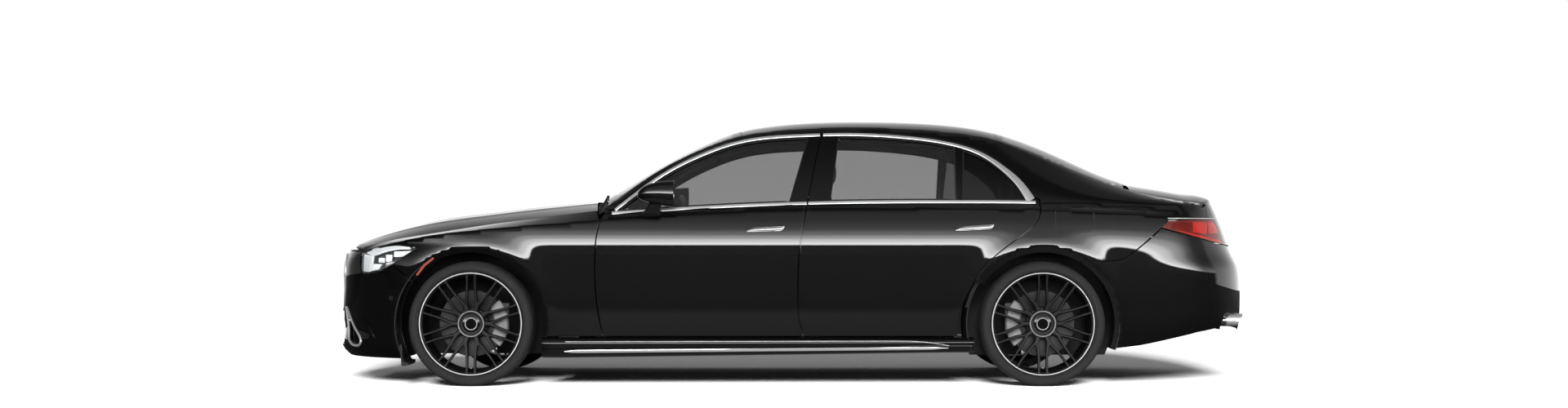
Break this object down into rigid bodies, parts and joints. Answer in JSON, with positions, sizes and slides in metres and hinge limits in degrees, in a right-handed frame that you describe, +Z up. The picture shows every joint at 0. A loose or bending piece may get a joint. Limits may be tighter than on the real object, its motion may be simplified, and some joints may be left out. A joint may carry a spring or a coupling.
{
  "type": "luxury sedan",
  "caption": "Long luxury sedan with hinged doors, hood and boot lid, steering that turns the front wheels and wheels that roll freely.",
  "frame": {"origin": "on the ground under the middle of the overall box", "axes": "-X to the front of the car, -Y to the car's left side (the side in the picture), +Z up"},
  "size_m": [5.306, 2.136, 1.5275],
  "materials": {
    "black_paint": "gloss black paint",
    "black_trim": "black trim",
    "tinted_glass": "tinted glass",
    "lamp_glass": "clear lamp cover over dark housing",
    "red_lamp": "red lamp cover",
    "chrome": "polished",
    "tyre_rubber": "matt rubber",
    "rim_paint": "satin black",
    "leather": "fine grain",
    "cabin_trim": "soft black",
    "steel": "bare and coated steel",
    "underbody": "matt black coating"
  },
  "bodies": {
    "shell": {"body_side_left": "black_paint", "body_side_right": "black_paint", "dashboard": "cabin_trim", "engine_block": "steel", "exhaust": "steel", "fender_left": "black_paint", "fender_right": "black_paint", "front_bumper": "black_paint", "front_subframe": "steel", "grille": "chrome", "headlamp_left": "lamp_glass", "headlamp_right": "lamp_glass", "rear_axle": "steel", "rear_bumper": "black_paint", "rear_floor": "underbody", "rear_window": "tinted_glass", "roof": "black_paint", "seat_front_left": "leather", "seat_front_right": "leather", "seat_rear": "leather", "side_skirt_left": "black_trim", "side_skirt_right": "black_trim", "tail_lamp_left": "red_lamp", "tail_lamp_right": "red_lamp", "underbody": "underbody", "windscreen": "tinted_glass"},
    "hood": {"hood": "black_paint"},
    "boot_lid": {"boot_lid": "black_paint"},
    "steering": {"steering_wheel": "cabin_trim"},
    "front_door_left": {"door_front_left": "black_paint", "door_glass_front_left": "tinted_glass", "mirror_left": "black_paint"},
    "rear_door_left": {"door_rear_left": "black_paint", "door_glass_rear_left": "tinted_glass", "quarter_glass_left": "tinted_glass"},
    "knuckle_left": {"knuckle_left": "steel"},
    "wheel_front_left": {"tyre_front_left": "tyre_rubber", "rim_front_left": "rim_paint"},
    "wheel_rear_left": {"tyre_rear_left": "tyre_rubber", "rim_rear_left": "rim_paint"},
    "front_door_right": {"door_front_right": "black_paint", "door_glass_front_right": "tinted_glass", "mirror_right": "black_paint"},
    "rear_door_right": {"door_rear_right": "black_paint", "door_glass_rear_right": "tinted_glass", "quarter_glass_right": "tinted_glass"},
    "knuckle_right": {"knuckle_right": "steel"},
    "wheel_front_right": {"tyre_front_right": "tyre_rubber", "rim_front_right": "rim_paint"},
    "wheel_rear_right": {"tyre_rear_right": "tyre_rubber", "rim_rear_right": "rim_paint"}
  },
  "joints": [
    {"name": "front_door_left_hinge", "type": "hinge", "parent": "shell", "child": "front_door_left", "pos_m": [-1.0975, -0.9585, 0.6], "axis": [0, 0, -1], "range_deg": [0, 68]},
    {"name": "rear_door_left_hinge", "type": "hinge", "parent": "shell", "child": "rear_door_left", "pos_m": [0.0405, -0.9585, 0.6], "axis": [0, 0, -1], "range_deg": [0, 68]},
    {"name": "front_door_right_hinge", "type": "hinge", "parent": "shell", "child": "front_door_right", "pos_m": [-1.0975, 0.9585, 0.6], "axis": [0, 0, 1], "range_deg": [0, 68]},
    {"name": "rear_door_right_hinge", "type": "hinge", "parent": "shell", "child": "rear_door_right", "pos_m": [0.0405, 0.9585, 0.6], "axis": [0, 0, 1], "range_deg": [0, 68]},
    {"name": "hood_hinge", "type": "hinge", "parent": "shell", "child": "hood", "pos_m": [-1.088, 0, 1.064], "axis": [0, 1, 0], "range_deg": [0, 55]},
    {"name": "boot_lid_hinge", "type": "hinge", "parent": "shell", "child": "boot_lid", "pos_m": [1.953, 0, 1.162], "axis": [0, -1, 0], "range_deg": [0, 80]},
    {"name": "steering", "type": "hinge", "parent": "shell", "child": "steering", "pos_m": [-0.56, -0.375, 0.905], "axis": [0.9135, 0, 0.4067], "range_deg": [-480, 480]},
    {"name": "knuckle_left_steer", "type": "hinge", "parent": "shell", "child": "knuckle_left", "pos_m": [-1.797, -0.76, 0.351], "axis": [0, 0, 1], "range_deg": [-36.1, 36.1]},
    {"name": "knuckle_right_steer", "type": "hinge", "parent": "shell", "child": "knuckle_right", "pos_m": [-1.797, 0.76, 0.351], "axis": [0, 0, 1], "range_deg": [-36.1, 36.1]},
    {"name": "wheel_front_left_spin", "type": "hinge", "parent": "knuckle_left", "child": "wheel_front_left", "pos_m": [-1.797, -0.815, 0.351], "axis": [0, -1, 0], "continuous": true},
    {"name": "wheel_rear_left_spin", "type": "hinge", "parent": "shell", "child": "wheel_rear_left", "pos_m": [1.419, -0.815, 0.351], "axis": [0, -1, 0], "continuous": true},
    {"name": "wheel_front_right_spin", "type": "hinge", "parent": "knuckle_right", "child": "wheel_front_right", "pos_m": [-1.797, 0.815, 0.351], "axis": [0, -1, 0], "continuous": true},
    {"name": "wheel_rear_right_spin", "type": "hinge", "parent": "shell", "child": "wheel_rear_right", "pos_m": [1.419, 0.815, 0.351], "axis": [0, -1, 0], "continuous": true}
  ],
  "couplings": [
    {"joint": "knuckle_left_steer", "follows": "steering", "ratio": 0.075},
    {"joint": "knuckle_right_steer", "follows": "steering", "ratio": 0.075}
  ]
}
